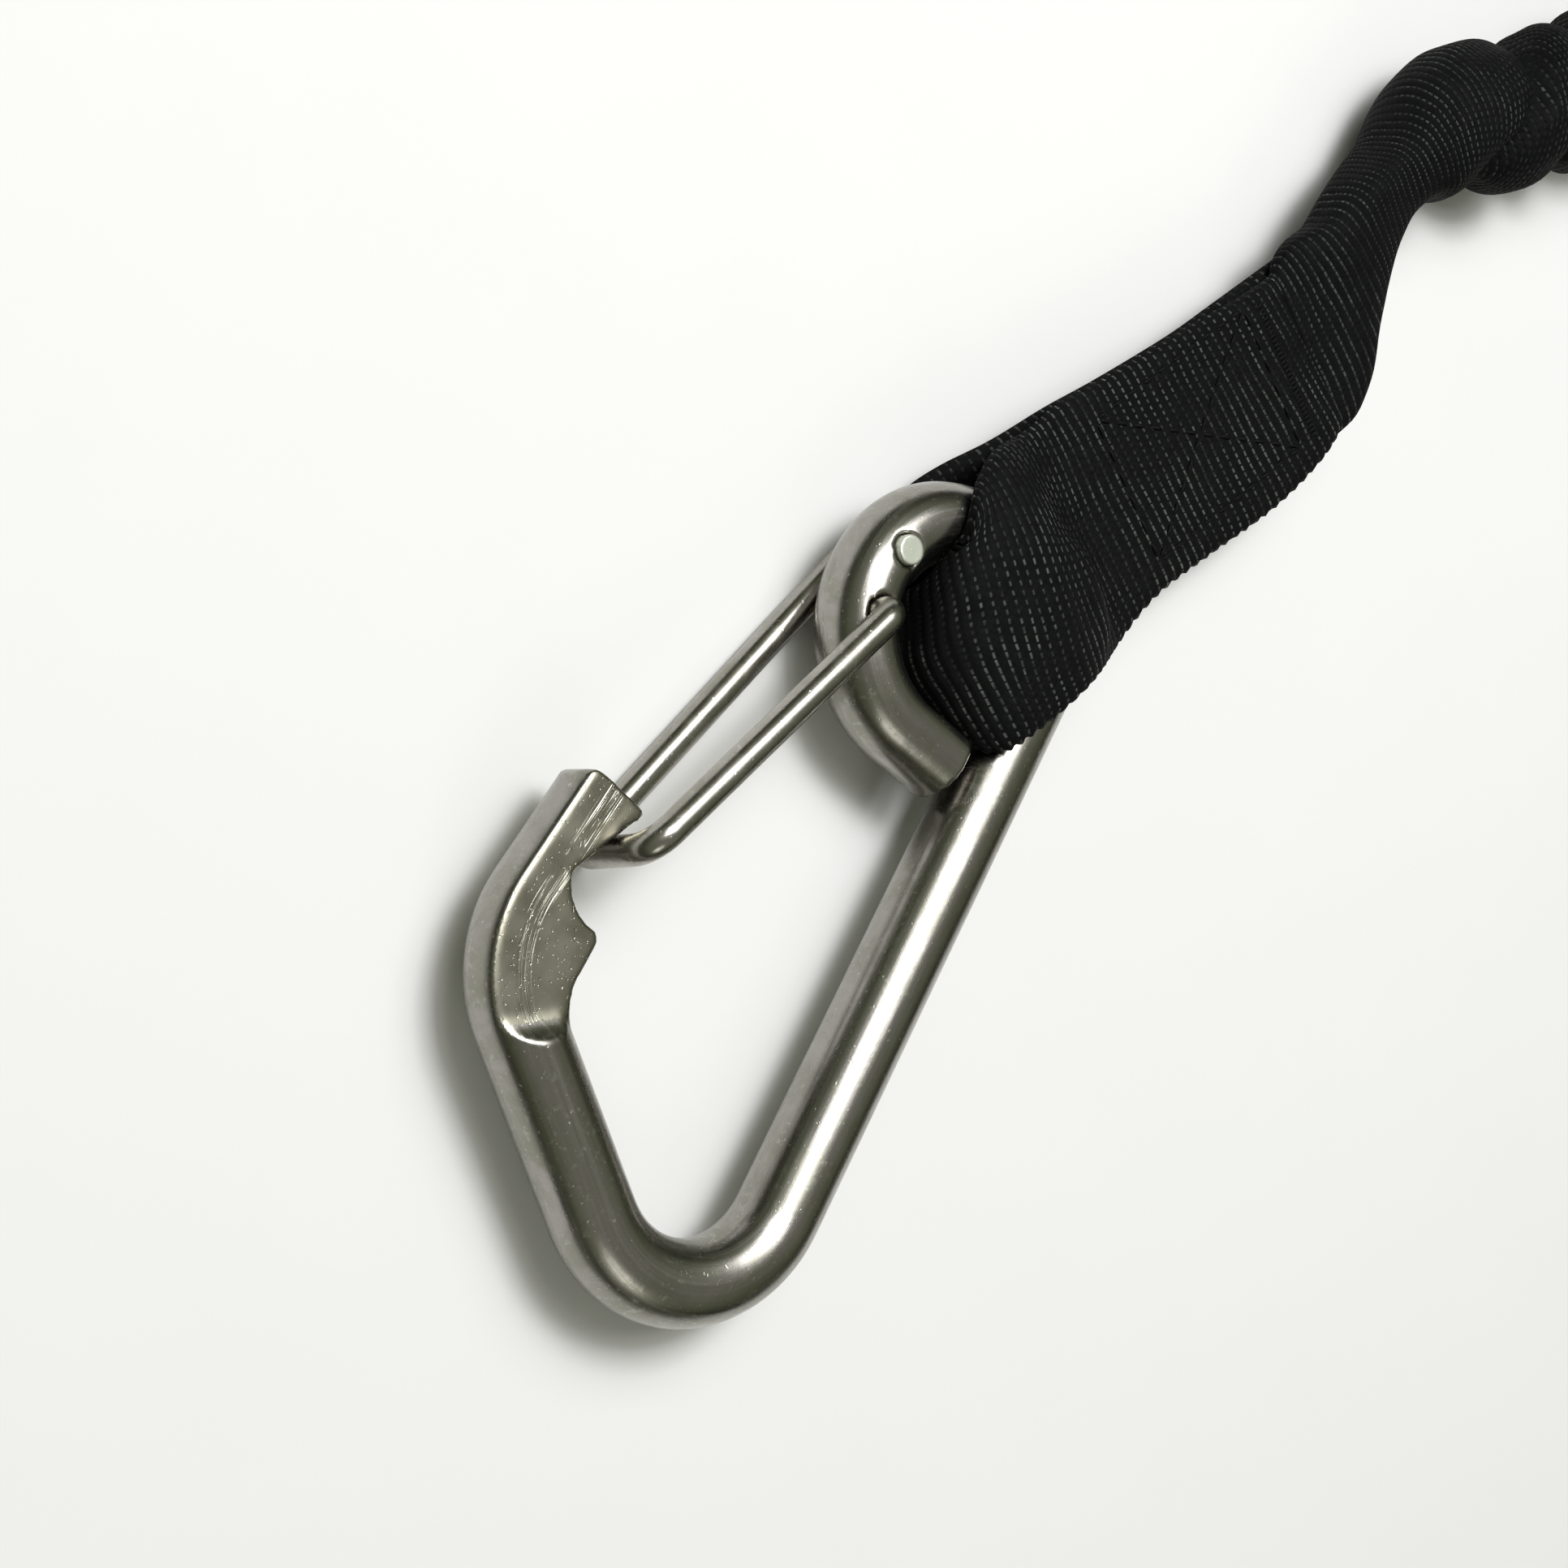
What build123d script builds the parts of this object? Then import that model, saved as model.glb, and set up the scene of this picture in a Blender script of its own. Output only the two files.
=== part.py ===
"""Shock absorbing lanyard for tools: a wire-gate carabiner held in a sewn loop of tubular webbing, an
elastic cord inside its gathered sleeve, and a cinching tail loop with a spring cord lock.

Millimetres. +X runs along the carabiner's spine towards the lanyard, +Y towards its gate, +Z up. The lanyard
lies on the plane Z = 0, and the origin is under the middle of the carabiner and its webbing loop. Every
outline below is drawn from the spine's centre line (y = 0, z = 0) and place() moves it to that frame.
"""
from build123d import *
from math import cos, pi, radians, sin, tan
import os

os.makedirs("parts", exist_ok=True)

# Where the drawing's datum lies in the finished frame
DATUM_X = 41.5
DATUM_Y = 10.3
ROD_HEIGHT = 8.8            # spine centre line above the surface that the lanyard lies on

# Carabiner: one bent stainless rod, with a flattened nose
ROD_D = 10.0
NOSE_END = (12.4, 45.6)
NOSE_CORNER = (-10.2, 48.0)
BOW_CORNER = (-42.5, 0.0)
EYE_X = 66.5                # centre line of the eye's straight end, which is the swing axis
EYE_TOP = 28.0
EYE_LEFT = 40.5
EYE_FOOT = 7.0              # the rod's cut end stops just short of the spine
NOSE_R = 13.5
BOW_R = 14.2
EYE_CORNER_R = 7.0
EYE_R = 12.8
NOSE_T = 6.4                # thickness across the milled flats of the nose
MILL_R = 4.0                # the cutter's radius where the flats run out on the leg
FLAT_START = 25.2           # along the leg from the end of the bow
RUN_OUT_LEAN = 19.0         # degrees that the flats' lower edge leans off square to the leg
NOSE_ZONE = (64.0, 30.0)    # where the cutter works: the nose and the top of the leg
NOSE_ZONE_MIDDLE = (-10.0, 46.0)
NOSE_END_R = 2.6
LEG_START = (-27.6, 22.1)
LEG_ANGLE = 56.0
BORE_CENTRE = (54.5, 14.0)  # the eye's inner face is bored flat towards the rod's cut end
BORE_R = 11.2

# Wire gate
WIRE_D = 3.6
HOLE_D = 3.8
PIVOT_NEAR = (48.2, 26.9)
PIVOT_FAR = (56.3, 27.7)
GATE_TIP_NEAR = (7.6, 41.0)
GATE_TIP_FAR = (6.4, 41.3)
LEG_Z = 7.0                 # the gate's two legs pass this far above and below the rod's centre plane
WIRE_BEND_R = 1.9
TIP_BEND_R = 3.4
PIN_PROUD = 0.5

# Webbing loop on the carabiner
WEB_W = 27.0
PLY_T = 2.4
LOOP_INNER = 6.2            # half height of the loop's inside
LOOP_Y = (5.8, 19.5)        # the bunched webbing in the eye
BIGHT_X = 64.0
LOOP_SHOULDERS = (68.0, 68.5)   # where the loop's inner and outer faces start to close
LOOP_ENDS = (81.5, 84.0)        # and where they end, inside the sewn part
LOOP_END_GAP = 0.8
SEWN_HALF = PLY_T + 0.15        # half the sewn strap's thickness
STRAP_LENGTH = 54.0             # of the sewn strap before it is cut off at the neck
SEWN_START = (80.0, 2.0)
SEWN_ANGLE = -26.0
NECK_X = 118.0              # where the sewn strap ends and the gathered sleeve starts
THREAD_D = 0.8
BOX_SEAM = (22.0, 21.0)         # length and width
BOX_SEAM_AT = 16.0              # its middle, along the sewn strap
BAR_TACK_W = 21.0
BAR_TACK_AT = 35.0
BAR_GAP = 3.0                   # between the middles of a tack's two bars

# Gathered sleeve over its elastic core
SLEEVE_D = 20.0
SLEEVE_BORE_D = 12.4
CORE_D = 12.0
SLEEVE_Z = SLEEVE_D / 2 - ROD_HEIGHT
ROUTE = [
    (NECK_X, -16.4), (140.0, -16.4), (167.0, -24.2), (204.0, -53.0), (231.0, -78.5), (261.0, -101.0),
]
RUN_SHARE = 0.45            # the part of the shorter run that an arc may take up
COIL_TURNS = [(110.0, 180.0), (94.0, 90.0), (62.0, 84.0)]

# Tail: sewn tab, cord loop and cord lock
TAB_W = 25.0
TAB_T = 5.0
TAB_LENGTH = 36.0
TAB_DROP = 2.0
TAB_SEAM = (18.0, 19.0)
TAB_SEAM_AT = 15.0
TAB_TACK_AT = 30.0
LOOP_CORD_D = 5.0
LOOP_GAP = 8.0              # between the centre lines of the loop's two legs
LOOP_STRAIGHT = 44.0
LOOP_BULB_R = 11.0
LOOP_FLARE = 9.0                # along the loop, from its straight legs to its widest
LOOP_BEND_RADII = [5, 5, 6, 6, 5, 5]
LOCK_D = 16.0
LOCK_LENGTH = 27.0
LOCK_WALL = 2.0
LOCK_START = 7.0            # from the tab to the lock's nearer side
PLUNGER_PROUD = 7.0
PLUNGER_SLIP = 0.1
PLUNGER_TRAVEL = 4.0
SPRING_WIRE_D = 0.9
SPRING_R = 4.4
SPRING_TURNS = 3
SPRING_END_GAP = 0.55       # room for the wire at each end
SLIP = 0.3


def place(shape):
    return Pos(-DATUM_X, -DATUM_Y, ROD_HEIGHT) * shape


def save(shape, name):
    placed = place(shape)
    placed.label = name
    export_step(placed, f"parts/{name}.step")
    return placed


def on_plane(points, z=0.0):
    return [(x, y, z) for x, y in points]


def round_bar(path, diameter, bore=0.0):
    start = path @ 0
    section = Plane(origin=start, z_dir=path % 0) * Circle(diameter / 2)
    if bore:
        section -= Plane(origin=start, z_dir=path % 0) * Circle(bore / 2)
    return sweep(section, path=path)


def carabiner_path():
    corners = [
        NOSE_END, NOSE_CORNER, BOW_CORNER, (EYE_X, 0.0), (EYE_X, EYE_TOP), (EYE_LEFT, EYE_TOP),
        (EYE_LEFT, EYE_FOOT),
    ]
    return FilletPolyline(*on_plane(corners), radius=[NOSE_R, BOW_R, EYE_CORNER_R, EYE_R, EYE_R])


def nose_plate():
    """The tooth below the gate's tip, as thick as the milled nose."""
    tooth_tip = (-2.2, 39.9)
    edge = [
        Line(NOSE_END, tooth_tip),
        Line(tooth_tip, (-3.3, 39.1)),
        Line((-3.3, 39.1), (-8.0, 39.3)),
        ThreePointArc((-8.0, 39.3), (-10.6, 38.3), (-12.3, 36.0)),
        Line((-12.3, 36.0), (-16.0, 39.2)),
        Line((-16.0, 39.2), (-8.0, 45.5)),
        Line((-8.0, 45.5), NOSE_END),
    ]
    return extrude(make_face(Wire(edge)), NOSE_T / 2, both=True)


def gate_pocket():
    """The slanted seat and round pocket that the gate's tip closes into."""
    seat_end = (13.5, 40.5)
    pocket_top = (1.8, 45.9)
    tooth_tip = (-2.2, 39.9)
    edge = [
        Line(seat_end, pocket_top),
        ThreePointArc(pocket_top, (-1.3, 43.6), tooth_tip),
        Line(tooth_tip, (-1.0, 34.0)),
        Line((-1.0, 34.0), (13.5, 34.0)),
        Line((13.5, 34.0), seat_end),
    ]
    return extrude(make_face(Wire(edge)), ROD_D, both=True)


def milled_flats():
    """What the cutter takes off the nose's two faces, with a round run-out on the leg."""
    start_x = LEG_START[0] + FLAT_START * cos(radians(LEG_ANGLE))
    start_y = LEG_START[1] + FLAT_START * sin(radians(LEG_ANGLE))
    reach = 2 * (NOSE_END[1] - start_y) + NOSE_ZONE[0]
    cutter = Part()
    for side in (1, -1):
        middle = side * (NOSE_T / 2 + MILL_R)
        cutter += Pos(reach / 2, 0, middle) * Box(reach, 2 * reach, 2 * MILL_R)
        cutter += Pos(0, 0, middle) * Rot(90, 0, 0) * Cylinder(MILL_R, 2 * reach)
    cutter = Pos(start_x, start_y, 0) * Rot(0, 0, LEG_ANGLE - RUN_OUT_LEAN) * cutter
    return cutter & Pos(*NOSE_ZONE_MIDDLE, 0) * Box(*NOSE_ZONE, 4 * ROD_D)


def nose_end_corner():
    """What is ground off the nose end's outer corner to round it."""
    heading = Vector(*NOSE_END) - Vector(*NOSE_CORNER)
    angle = -Vector(1, 0, 0).get_angle(heading)
    square = Box(NOSE_END_R, NOSE_END_R, 2 * ROD_D)
    rounded = Pos(-NOSE_END_R / 2, -NOSE_END_R / 2, 0) * Cylinder(NOSE_END_R, 2 * ROD_D)
    corner = Pos(-NOSE_END_R / 2, ROD_D / 2 - NOSE_END_R / 2, 0) * (square - rounded)
    return Pos(*NOSE_END, 0) * Rot(0, 0, angle) * corner


def eye_bore():
    """The round bore of the eye, carried straight down past the rod's cut end, clear of the end bar."""
    middle_x, middle_y = BORE_CENTRE
    foot_length = middle_y - EYE_FOOT
    bore = Pos(middle_x, middle_y, 0) * Cylinder(BORE_R, 2 * ROD_D)
    bore += Pos(middle_x - BORE_R / 2, middle_y - foot_length / 2, 0) * Box(BORE_R, foot_length, 2 * ROD_D)
    curl_side = Pos(middle_x - BORE_R, EYE_FOOT + 1.5 * BORE_R, 0) * Box(2 * BORE_R, 3 * BORE_R, 4 * ROD_D)
    return bore & curl_side


def carabiner_body():
    body = round_bar(carabiner_path(), ROD_D) + nose_plate()
    body -= milled_flats()
    body -= nose_end_corner()
    body -= gate_pocket()
    body -= eye_bore()
    for x, y in (PIVOT_NEAR, PIVOT_FAR):
        body -= Pos(x, y, 0) * Cylinder(HOLE_D / 2, 2 * ROD_D)
    return body


def gate_wire():
    """Near pivot, near leg, the bend across the nose, and the far leg up to its own pivot."""
    far_end = (PIVOT_FAR[0] - 0.2, PIVOT_FAR[1] + 0.1)
    points = [
        (*PIVOT_NEAR, -ROD_D / 2 - PIN_PROUD),
        (*PIVOT_NEAR, LEG_Z),
        (*GATE_TIP_NEAR, LEG_Z),
        (*GATE_TIP_FAR, -LEG_Z),
        (*far_end, -LEG_Z),
    ]
    path = FilletPolyline(*points, radius=[WIRE_BEND_R, TIP_BEND_R, TIP_BEND_R])
    return round_bar(path, WIRE_D)


def gate_rear_pivot():
    length = ROD_D + PIN_PROUD
    return Pos(*PIVOT_FAR, PIN_PROUD / 2) * Cylinder(WIRE_D / 2, length)


def loop_outline(half_height, shoulder_x, end_x, end_half):
    """Side view of the loop: round at the bight, straight over the eye's end, closing towards the sewn part."""
    return make_face(Wire([
        Line((BIGHT_X, half_height), (shoulder_x, half_height)),
        Line((shoulder_x, half_height), (end_x, end_half)),
        Line((end_x, end_half), (end_x, -end_half)),
        Line((end_x, -end_half), (shoulder_x, -half_height)),
        Line((shoulder_x, -half_height), (BIGHT_X, -half_height)),
        ThreePointArc((BIGHT_X, -half_height), (BIGHT_X - half_height, 0), (BIGHT_X, half_height)),
    ]))


def hook_loop():
    """Webbing folded round the eye's end and sewn flat on itself."""
    shell = loop_outline(LOOP_INNER + PLY_T, LOOP_SHOULDERS[1], LOOP_ENDS[1], SEWN_HALF)
    inside = loop_outline(LOOP_INNER, LOOP_SHOULDERS[0], LOOP_ENDS[0], LOOP_END_GAP / 2)
    band = Pos(0, LOOP_Y[1], 0) * extrude(Plane.XZ * (shell - inside), LOOP_Y[1] - LOOP_Y[0])
    strap = sewn_frame() * Pos(STRAP_LENGTH / 2, 0, 0) * Box(STRAP_LENGTH, WEB_W, 2 * SEWN_HALF)
    return band + split(strap, bisect_by=Plane((NECK_X, 0, 0), z_dir=(-1, 0, 0)))


def sewn_frame():
    return Pos(*SEWN_START, 0) * Rot(0, 0, SEWN_ANGLE)


def box_stitching(length, width, surface):
    """Thread of a box seam with its cross, proud of both faces of a sewn strap."""
    threads = Part()
    for side in (1, -1):
        z = side * (surface + THREAD_D / 4)
        box = Box(length, width, THREAD_D / 2)
        box -= Box(length - 2 * THREAD_D, width - 2 * THREAD_D, THREAD_D)
        slope = Vector(length, width, 0).length - THREAD_D
        angle = Vector(1, 0, 0).get_angle(Vector(length, width, 0))
        cross = Rot(0, 0, angle) * Box(slope, THREAD_D, THREAD_D / 2)
        cross += Rot(0, 0, -angle) * Box(slope, THREAD_D, THREAD_D / 2)
        threads += Pos(0, 0, z) * (box + cross)
    return threads


def bar_tack(width, surface):
    """Two dense cross seams, on both faces of a sewn strap."""
    bars = Part()
    for side in (1, -1):
        for step in (-BAR_GAP / 2, BAR_GAP / 2):
            bars += Pos(step, 0, side * (surface + THREAD_D / 4)) * Box(2 * THREAD_D, width, THREAD_D / 2)
    return bars


def turn_radii(points):
    """Largest arc at each corner that leaves both of its runs room."""
    radii = []
    for before, corner, after in zip(points, points[1:], points[2:]):
        arriving = Vector(*corner) - Vector(*before)
        leaving = Vector(*after) - Vector(*corner)
        half_turn = radians(arriving.get_angle(leaving) / 2)
        radii.append(RUN_SHARE * min(arriving.length, leaving.length) / tan(half_turn))
    return radii


def sleeve_path():
    points = on_plane(ROUTE, SLEEVE_Z)
    radii = turn_radii(points)
    print("sleeve radii", [round(r, 1) for r in radii])
    return FilletPolyline(*points, radius=radii)


def coil_path():
    """One flat turn that winds inwards, so that the tail lies inside it."""
    edges = []
    position = Vector(*ROUTE[-1], SLEEVE_Z)
    heading = (Vector(*ROUTE[-1], 0) - Vector(*ROUTE[-2], 0)).normalized()
    for radius, turn in COIL_TURNS:
        arc = JernArc(position, heading, radius, turn)
        edges.append(arc)
        position = arc @ 1
        heading = arc % 1
    return Wire(edges), position, heading


def tail_frame():
    _, position, heading = coil_path()
    return Plane(origin=position, x_dir=heading, z_dir=(0, 0, 1)).location


def tail_tab():
    return Pos(TAB_LENGTH / 2, 0, -TAB_DROP) * Box(TAB_LENGTH, TAB_W, TAB_T)


def choke_loop():
    """Cord loop: two parallel legs for the lock to run on, and a rounded end."""
    half = LOOP_GAP / 2
    start = TAB_LENGTH
    flare = start + LOOP_STRAIGHT
    far = flare + 2 * LOOP_BULB_R
    one_leg = [
        (start, half), (flare, half), (flare + LOOP_FLARE, LOOP_BULB_R + 3), (far, LOOP_BULB_R + 1),
    ]
    other_leg = [(x, -y) for x, y in reversed(one_leg)]
    path = FilletPolyline(*on_plane(one_leg + other_leg, -TAB_DROP), radius=LOOP_BEND_RADII)
    return round_bar(path, LOOP_CORD_D)


def lock_middle():
    return TAB_LENGTH + LOCK_START + LOCK_D / 2


def cord_slot(length):
    """The passage through the lock for both legs of the loop."""
    slot = Box(length, LOOP_GAP, LOOP_CORD_D + 2 * SLIP)
    for side in (1, -1):
        slot += Pos(0, side * LOOP_GAP / 2, 0) * Rot(0, 90, 0) * Cylinder(LOOP_CORD_D / 2 + SLIP, length)
    return slot


def lock_barrel():
    shell = Rot(90, 0, 0) * Cylinder(LOCK_D / 2, LOCK_LENGTH)
    bore = Rot(90, 0, 0) * Cylinder(LOCK_D / 2 - LOCK_WALL, LOCK_LENGTH)
    shell -= Pos(0, LOCK_WALL, 0) * bore
    shell -= cord_slot(2 * LOCK_D)
    return Pos(lock_middle(), 0, -TAB_DROP) * shell


def lock_plunger():
    radius = LOCK_D / 2 - LOCK_WALL - PLUNGER_SLIP
    length = LOCK_LENGTH / 2 + LOOP_GAP / 2 + LOOP_CORD_D / 2 + PLUNGER_PROUD
    low = LOCK_LENGTH / 2 + PLUNGER_PROUD - length
    body = Pos(0, low + length / 2, 0) * Rot(90, 0, 0) * Cylinder(radius, length)
    window = cord_slot(2 * LOCK_D)
    window += Pos(0, PLUNGER_TRAVEL, 0) * cord_slot(2 * LOCK_D)
    body -= window
    return Pos(lock_middle(), 0, -TAB_DROP) * body


def lock_spring():
    """Spring between the barrel's closed end and the plunger."""
    floor = -LOCK_LENGTH / 2 + LOCK_WALL + SPRING_END_GAP
    plunger_end = -(LOOP_GAP + LOOP_CORD_D) / 2
    room = plunger_end - floor - 2 * SPRING_END_GAP
    helix = Helix(pitch=room / SPRING_TURNS, height=room, radius=SPRING_R)
    section = Plane(origin=helix @ 0, z_dir=helix % 0) * Circle(SPRING_WIRE_D / 2)
    coil = sweep(section, path=helix, is_frenet=True)
    return Pos(lock_middle(), floor, -TAB_DROP) * Rot(-90, 0, 0) * coil


def report(name, shape):
    box = shape.bounding_box()
    print(name, "x", round(box.min.X, 2), round(box.max.X, 2), "y", round(box.min.Y, 2), round(box.max.Y, 2),
          "z", round(box.min.Z, 2), round(box.max.Z, 2))


hook = {
    "carabiner_body": carabiner_body(),
    "gate_wire": gate_wire(),
    "gate_rear_pivot": gate_rear_pivot(),
    "hook_loop_webbing": hook_loop(),
    "hook_box_stitching": sewn_frame() * Pos(BOX_SEAM_AT, 0, 0) * box_stitching(*BOX_SEAM, SEWN_HALF),
    "hook_bar_tack": sewn_frame() * Pos(BAR_TACK_AT, 0, 0) * bar_tack(BAR_TACK_W, SEWN_HALF),
}
for name, shape in hook.items():
    report(name, save(shape, name))

route = sleeve_path()
winding, _, _ = coil_path()
print("route length", round(route.length, 1), "coil length", round(winding.length, 1))
cord = {
    "sleeve": round_bar(route, SLEEVE_D, SLEEVE_BORE_D),
    "bungee_core": round_bar(route, CORE_D),
    "sleeve_coil": round_bar(winding, SLEEVE_D, SLEEVE_BORE_D),
    "bungee_core_coil": round_bar(winding, CORE_D),
}
section_area = pi * (SLEEVE_D ** 2 - SLEEVE_BORE_D ** 2) / 4
print("sleeve volume", round(cord["sleeve"].volume), "section x length", round(section_area * route.length))
for name, shape in cord.items():
    report(name, save(shape, name))

tail = {
    "tail_tab_webbing": tail_tab(),
    "tail_box_stitching": Pos(TAB_SEAM_AT, 0, -TAB_DROP) * box_stitching(*TAB_SEAM, TAB_T / 2),
    "tail_bar_tack": Pos(TAB_TACK_AT, 0, -TAB_DROP) * bar_tack(TAB_SEAM[1], TAB_T / 2),
    "choke_loop_cord": choke_loop(),
    "cord_lock_barrel": lock_barrel(),
    "cord_lock_plunger": lock_plunger(),
    "cord_lock_spring": lock_spring(),
}
for name, shape in tail.items():
    report(name, save(tail_frame() * shape, name))
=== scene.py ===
from math import atan2, cos, pi, radians, sin

import bpy
import numpy as np
from mathutils import Matrix, Vector
from mathutils.bvhtree import BVHTree


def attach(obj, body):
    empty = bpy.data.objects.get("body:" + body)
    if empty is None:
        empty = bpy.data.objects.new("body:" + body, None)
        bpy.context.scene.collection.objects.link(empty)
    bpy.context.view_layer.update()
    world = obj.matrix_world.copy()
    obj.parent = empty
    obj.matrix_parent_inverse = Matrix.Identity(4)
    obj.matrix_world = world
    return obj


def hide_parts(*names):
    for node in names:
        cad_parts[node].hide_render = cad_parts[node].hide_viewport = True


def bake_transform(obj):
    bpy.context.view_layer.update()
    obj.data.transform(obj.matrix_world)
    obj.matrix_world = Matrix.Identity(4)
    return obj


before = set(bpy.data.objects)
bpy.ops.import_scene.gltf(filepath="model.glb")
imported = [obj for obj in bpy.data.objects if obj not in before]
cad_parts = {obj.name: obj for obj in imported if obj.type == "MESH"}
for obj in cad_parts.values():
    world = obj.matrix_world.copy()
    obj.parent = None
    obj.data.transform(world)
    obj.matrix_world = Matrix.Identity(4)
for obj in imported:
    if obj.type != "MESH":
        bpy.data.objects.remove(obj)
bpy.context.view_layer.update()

# The carabiner and its strap are drawn in millimetres from the spine's centre line, as in the CAD
DATUM = np.array((41.5, 10.3, -8.8))
ROD_R = 5.0
WEB_W = 27.0
PLY_T = 2.2
NOSE_T = 6.4

# Cord: the gathered sleeve over its elastic core, in metres
SLEEVE_EXIT = (0.0765, -0.0267, 0.010)
SLEEVE_D = 0.020
FLOOR_CLEAR_MM = 0.2
SLEEVE_ROUTE = [
    SLEEVE_EXIT, (0.0881, -0.0268, 0.010), (0.0950, -0.0258, 0.010), (0.1005, -0.0254, 0.010),
    (0.1075, -0.0255, 0.010), (0.1138, -0.0264, 0.010), (0.1197, -0.0294, 0.010), (0.1254, -0.0345, 0.010),
    (0.1300, -0.0391, 0.010), (0.1348, -0.0434, 0.010), (0.1420, -0.0492, 0.010), (0.1640, -0.0650, 0.010),
    (0.1895, -0.0888, 0.010), (0.2195, -0.1113, 0.010),
]
COIL_HEADING = -36.87
COIL_TURNS = [(0.110, 180), (0.094, 90), (0.062, 84)]
COIL_STEP = 15

# Tail, in the frame where the coil ends, in metres
TAB_LENGTH = 0.036
TAB_W = 0.025
TAB_DROP = 0.002
LOOP_CORD_D = 0.005
LOOP_GAP = 0.008


def metres(points):
    """Drawing millimetres to the frame's metres."""
    return (np.asarray(points, float) - DATUM) / 1000


def drawing(points):
    """The frame's metres to drawing millimetres."""
    return np.asarray(points, float) * 1000 + DATUM


# ---------------------------------------------------------------- lines, grids and meshes

def spline(points, count):
    """A Catmull-Rom curve through the points, sampled evenly by its parameter.

    Each point may be any array of numbers.
    """
    points = np.asarray(points, float)
    first, last = 2 * points[0] - points[1], 2 * points[-1] - points[-2]
    held = np.concatenate([[first], points, [last]])
    at = np.linspace(0, len(points) - 1, count)
    left = np.minimum(at.astype(int), len(points) - 2)
    t = (at - left).reshape([-1] + [1] * (points.ndim - 1))
    a, b, c, d = (held[left + k] for k in range(4))
    return 0.5 * (2 * b + (c - a) * t + (2 * a - 5 * b + 4 * c - d) * t ** 2
                  + (3 * b - a - 3 * c + d) * t ** 3)


def lengths_along(points):
    return np.concatenate([[0], np.cumsum(np.linalg.norm(np.diff(points, axis=0), axis=1))])


def even_line(points, spacing):
    along = lengths_along(points)
    count = int(along[-1] / spacing) + 1
    at = np.linspace(0, along[-1], count)
    return np.stack([np.interp(at, along, points[:, k]) for k in range(points.shape[1])], axis=1)


def nurbs_line(name, points, spacing):
    """Points read from a NURBS spline with these control points, evenly spaced."""
    curve = bpy.data.curves.new(name + "_line", "CURVE")
    curve.dimensions = "3D"
    line = curve.splines.new("NURBS")
    line.points.add(len(points) - 1)
    for point, place in zip(line.points, points):
        point.co = (*place, 1)
    line.order_u = 3
    line.use_endpoint_u = True
    line.resolution_u = 16
    carrier = bpy.data.objects.new(name + "_line", curve)
    mesh = bpy.data.meshes.new_from_object(carrier)
    read = np.array([v.co for v in mesh.vertices], float)
    bpy.data.objects.remove(carrier)
    bpy.data.meshes.remove(mesh)
    return even_line(read, spacing)


def unit(rows):
    return rows / np.linalg.norm(rows, axis=-1)[..., None]


def smoothstep(low, high, x):
    t = np.clip((x - low) / (high - low), 0, 1)
    return t * t * (3 - 2 * t)


def mesh_object(name, vertices, faces, material, corner_uv=None):
    mesh = bpy.data.meshes.new(name)
    mesh.from_pydata(np.asarray(vertices, float).tolist(), [], faces)
    mesh.polygons.foreach_set("use_smooth", [True] * len(mesh.polygons))
    if corner_uv is not None:
        layer = mesh.uv_layers.new(name="weave")
        layer.data.foreach_set("uv", np.asarray(corner_uv, np.float32).ravel())
    mesh.materials.append(material)
    mesh.update()
    obj = bpy.data.objects.new(name, mesh)
    bpy.context.scene.collection.objects.link(obj)
    return obj


def ring_mesh(name, rings, material, uv, wrap=0.0):
    """A closed skin over rings of points, rings[row, around, xyz]; wrap is what u grows by in one turn."""
    rows, around = rings.shape[:2]
    row, k = (a.ravel() for a in np.meshgrid(np.arange(rows - 1), np.arange(around), indexing="ij"))
    after = (k + 1) % around
    faces = np.stack([row * around + k, row * around + after, (row + 1) * around + after,
                      (row + 1) * around + k], axis=1)
    corner_uv = uv.reshape(-1, 2)[faces]
    corner_uv[k == around - 1, 1:3, 0] += wrap
    vertices = np.concatenate([rings.reshape(-1, 3), rings[[0, -1]].mean(1)])
    k = np.arange(around)
    after = (k + 1) % around
    ends = []
    for end, first, middle in ((0, 0, rows * around), (1, (rows - 1) * around, rows * around + 1)):
        pair = (first + after, first + k) if end == 0 else (first + k, first + after)
        ends.append(np.stack([np.full(around, middle), *pair], axis=1))
    caps = np.concatenate(ends)
    flat_uv = np.concatenate([uv.reshape(-1, 2), uv[[0, -1]].mean(1)])
    corner_uv = np.concatenate([corner_uv.reshape(-1, 2), flat_uv[caps].reshape(-1, 2)])
    return mesh_object(name, vertices, faces.tolist() + caps.tolist(), material, corner_uv)


# ---------------------------------------------------------------- materials

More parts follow.
